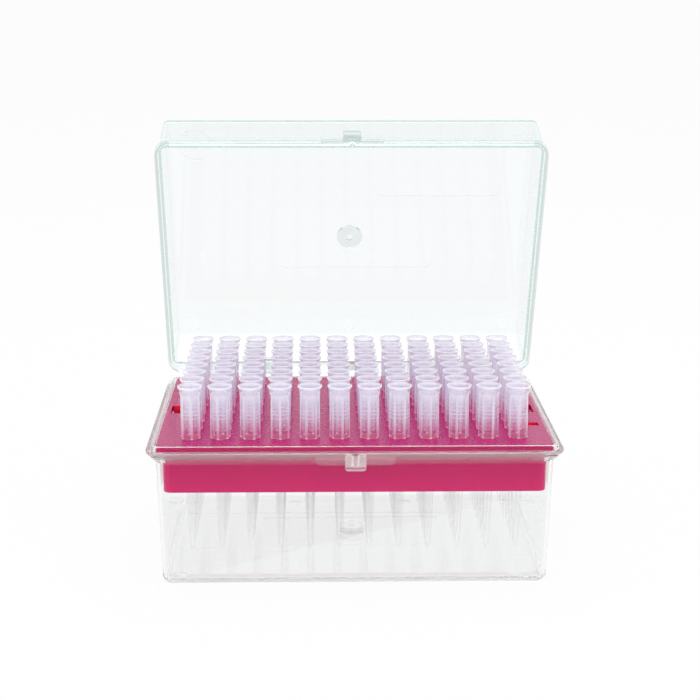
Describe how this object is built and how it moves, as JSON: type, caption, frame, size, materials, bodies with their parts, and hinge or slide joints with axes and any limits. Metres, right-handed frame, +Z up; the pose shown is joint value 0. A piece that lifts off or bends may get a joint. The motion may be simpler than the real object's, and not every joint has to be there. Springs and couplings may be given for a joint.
{
  "type": "pipette tip box",
  "caption": "Clear hinged-lid box of pipette tips standing in a magenta drop-in tray, lid propped open.",
  "frame": {"origin": "centre of the tub's underside, where the box stands", "axes": "+Z up, +X along the tub's length to the right seen from the latch side, -Y towards the latch, +Y towards the hinges"},
  "size_m": [0.125, 0.1079, 0.1338],
  "materials": {
    "clear_box": "clear polypropylene, gloss outside, faint green-grey at its edges",
    "tray": "magenta polypropylene, satin skirt and a finely textured plate",
    "tip": "natural translucent polypropylene, smooth"
  },
  "bodies": {
    "base": {"base": "clear_box", "tray": "tray", "tips_01_a_to_d": "tip", "tips_01_e_to_h": "tip", "tips_02_a_to_d": "tip", "tips_02_e_to_h": "tip", "tips_03_a_to_d": "tip", "tips_03_e_to_h": "tip", "tips_04_a_to_d": "tip", "tips_04_e_to_h": "tip", "tips_05_a_to_d": "tip", "tips_05_e_to_h": "tip", "tips_06_a_to_d": "tip", "tips_06_e_to_h": "tip", "tips_07_a_to_d": "tip", "tips_07_e_to_h": "tip", "tips_08_a_to_d": "tip", "tips_08_e_to_h": "tip", "tips_09_a_to_d": "tip", "tips_09_e_to_h": "tip", "tips_10_a_to_d": "tip", "tips_10_e_to_h": "tip", "tips_11_a_to_d": "tip", "tips_11_e_to_h": "tip", "tips_12_a_to_d": "tip", "tips_12_e_to_h": "tip"},
    "lid": {"lid": "clear_box"}
  },
  "joints": [
    {"name": "lid_hinge", "type": "hinge", "parent": "base", "child": "lid", "pos_m": [0, 0.0478, 0.0458], "axis": [-1, 0, 0], "range_deg": [-66.5, 48.5]}
  ]
}
